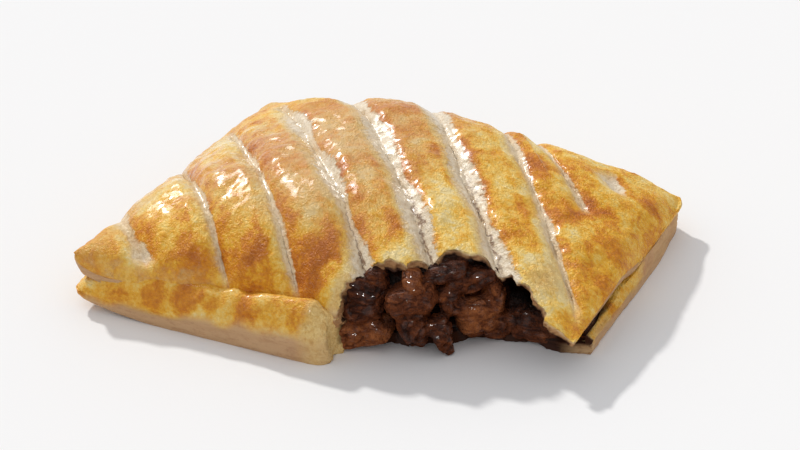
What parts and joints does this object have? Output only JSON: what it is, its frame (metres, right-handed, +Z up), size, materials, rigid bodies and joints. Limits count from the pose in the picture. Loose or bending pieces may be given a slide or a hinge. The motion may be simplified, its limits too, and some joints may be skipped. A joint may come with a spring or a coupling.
{
  "type": "steak bake",
  "caption": "Rectangular puff pastry parcel with a slashed, glazed lid, bitten at one corner so that its steak and gravy filling shows.",
  "frame": {"origin": "on the flat underside, below the middle of the whole parcel's box", "axes": "+X along the parcel's long side towards the bitten end, -Y the front side with the puffed rim, +Z up"},
  "size_m": [0.132, 0.1014, 0.0342],
  "materials": {
    "glazed_crust": "egg-glazed puff pastry, golden brown with pale, flaky cuts and a broken shine",
    "baked_base": "baked puff pastry, golden on the rim and pale tan in fine layers on the side",
    "steak_gravy": "stewed steak in dark brown gravy, wet and fibrous"
  },
  "bodies": {
    "root": {"pastry_lid": "glazed_crust", "pastry_base": "baked_base", "steak_filling": "steak_gravy"}
  },
  "joints": []
}
